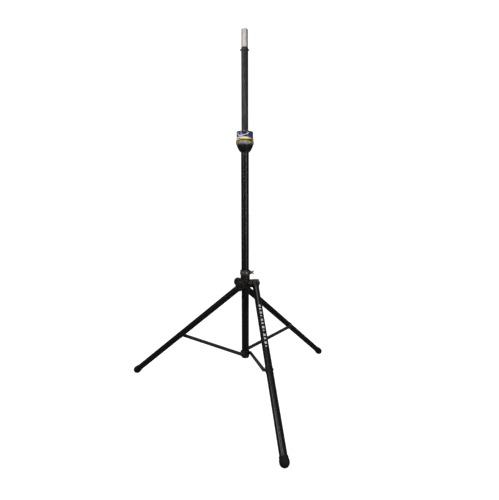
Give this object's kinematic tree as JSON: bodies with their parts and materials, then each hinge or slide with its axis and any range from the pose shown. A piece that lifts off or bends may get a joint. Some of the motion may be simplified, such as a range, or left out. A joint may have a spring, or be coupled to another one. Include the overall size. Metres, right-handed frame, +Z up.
{
  "type": "tripod speaker stand",
  "caption": "Tall telescoping tripod stand for a loudspeaker: twist-lock collar, sliding leg hub with folding braced legs and rubber feet.",
  "frame": {"origin": "centre of the footprint on the floor, the middle of the bounding box's underside; the pole's axis stands 193.4 mm behind it (+Y)", "axes": "+Z up along the pole; the front foot points to -Y and the two rear feet are symmetric about the YZ plane"},
  "size_m": [1.3876, 1.2082, 2.0525],
  "materials": {
    "black_tube": "satin black powder coat on aluminium tube",
    "bare_aluminium": "bare drawn aluminium",
    "black_plastic": "moulded black plastic",
    "dark_steel": "black oxide steel",
    "clamp_metal": "grey-brown coated cast metal",
    "zinc_steel": "zinc plated steel",
    "nylon": "natural nylon",
    "rubber": "black rubber",
    "grey_plastic": "warm grey moulded grip",
    "yellow_plastic": "printed yellow band",
    "blue_plastic": "glossy dark blue plastic"
  },
  "bodies": {
    "mast": {"main_tube": "black_tube", "tube_end_plug": "black_plastic", "lower_hub": "black_plastic", "brace_pins": "dark_steel", "collar_base": "black_plastic", "upper_bushing": "nylon", "collet": "nylon"},
    "pole": {"pole_tube": "black_tube", "pole_spigot": "bare_aluminium", "cross_pin": "dark_steel", "pole_piston": "nylon", "piston_seal": "rubber", "piston_screw": "zinc_steel"},
    "collar": {"grip_ring": "grey_plastic", "accent_band": "yellow_plastic", "twist_cap": "blue_plastic", "wiper_ring": "rubber"},
    "hub": {"hub_liner": "black_plastic", "leg_hub": "black_plastic", "clamp_ring": "clamp_metal", "clamp_pad": "nylon", "pivot_bolts": "dark_steel", "pivot_spacers": "nylon", "pivot_washers": "zinc_steel"},
    "wing_bolt": {"wing_bolt": "dark_steel"},
    "leg_1": {"leg_knuckle_1": "black_plastic", "leg_tube_1": "black_tube", "rubber_foot_1": "rubber", "leg_bracket_1": "dark_steel", "leg_bolt_1": "dark_steel"},
    "brace_1": {"brace_1": "black_tube", "brace_rivet_1": "dark_steel"},
    "leg_2": {"leg_knuckle_2": "black_plastic", "leg_tube_2": "black_tube", "rubber_foot_2": "rubber", "leg_bracket_2": "dark_steel", "leg_bolt_2": "dark_steel"},
    "brace_2": {"brace_2": "black_tube", "brace_rivet_2": "dark_steel"},
    "leg_3": {"leg_knuckle_3": "black_plastic", "leg_tube_3": "black_tube", "rubber_foot_3": "rubber", "leg_bracket_3": "dark_steel", "leg_bolt_3": "dark_steel"},
    "brace_3": {"brace_3": "black_tube", "brace_rivet_3": "dark_steel"}
  },
  "joints": [
    {"name": "pole_slide", "type": "slide", "parent": "mast", "child": "pole", "axis": [0, 0, 1], "range_m": [-0.407, 0.739]},
    {"name": "collar_twist", "type": "hinge", "parent": "mast", "child": "collar", "pos_m": [0, 0.19336, 1.5], "axis": [0, 0, 1], "range_deg": [0, 90]},
    {"name": "hub_slide", "type": "slide", "parent": "mast", "child": "hub", "axis": [0, 0, 1], "range_m": [0, 0.56087]},
    {"name": "wing_bolt_turn", "type": "hinge", "parent": "hub", "child": "wing_bolt", "pos_m": [0.03988, 0.19022, 0.7345], "axis": [0.9969, -0.0786, 0], "range_deg": [0, 360]},
    {"name": "leg_1_fold", "type": "hinge", "parent": "hub", "child": "leg_1", "pos_m": [0.06061, 0.18859, 0.668], "axis": [0.9969, -0.0786, 0], "range_deg": [0, 47.01]},
    {"name": "brace_1_fold", "type": "hinge", "parent": "mast", "child": "brace_1", "pos_m": [0.02722, 0.19122, 0.22564], "axis": [-0.9969, 0.0786, 0], "range_deg": [0, 75.79]},
    {"name": "leg_2_fold", "type": "hinge", "parent": "hub", "child": "leg_2", "pos_m": [-0.02617, 0.24825, 0.668], "axis": [-0.4304, 0.9026, 0], "range_deg": [0, 47.01]},
    {"name": "brace_2_fold", "type": "hinge", "parent": "mast", "child": "brace_2", "pos_m": [-0.01175, 0.21801, 0.22564], "axis": [0.4304, -0.9026, 0], "range_deg": [0, 75.79]},
    {"name": "leg_3_fold", "type": "hinge", "parent": "hub", "child": "leg_3", "pos_m": [-0.03445, 0.14326, 0.668], "axis": [-0.5665, -0.824, 0], "range_deg": [0, 47.01]},
    {"name": "brace_3_fold", "type": "hinge", "parent": "mast", "child": "brace_3", "pos_m": [-0.01547, 0.17087, 0.22564], "axis": [0.5665, 0.824, 0], "range_deg": [0, 75.79]}
  ],
  "couplings": [
    {"joint": "leg_1_fold", "follows": "hub_slide", "rad_per_m": 1.4626},
    {"joint": "brace_1_fold", "follows": "hub_slide", "rad_per_m": 2.3581},
    {"joint": "leg_2_fold", "follows": "hub_slide", "rad_per_m": 1.4626},
    {"joint": "brace_2_fold", "follows": "hub_slide", "rad_per_m": 2.3581},
    {"joint": "leg_3_fold", "follows": "hub_slide", "rad_per_m": 1.4626},
    {"joint": "brace_3_fold", "follows": "hub_slide", "rad_per_m": 2.3581}
  ]
}
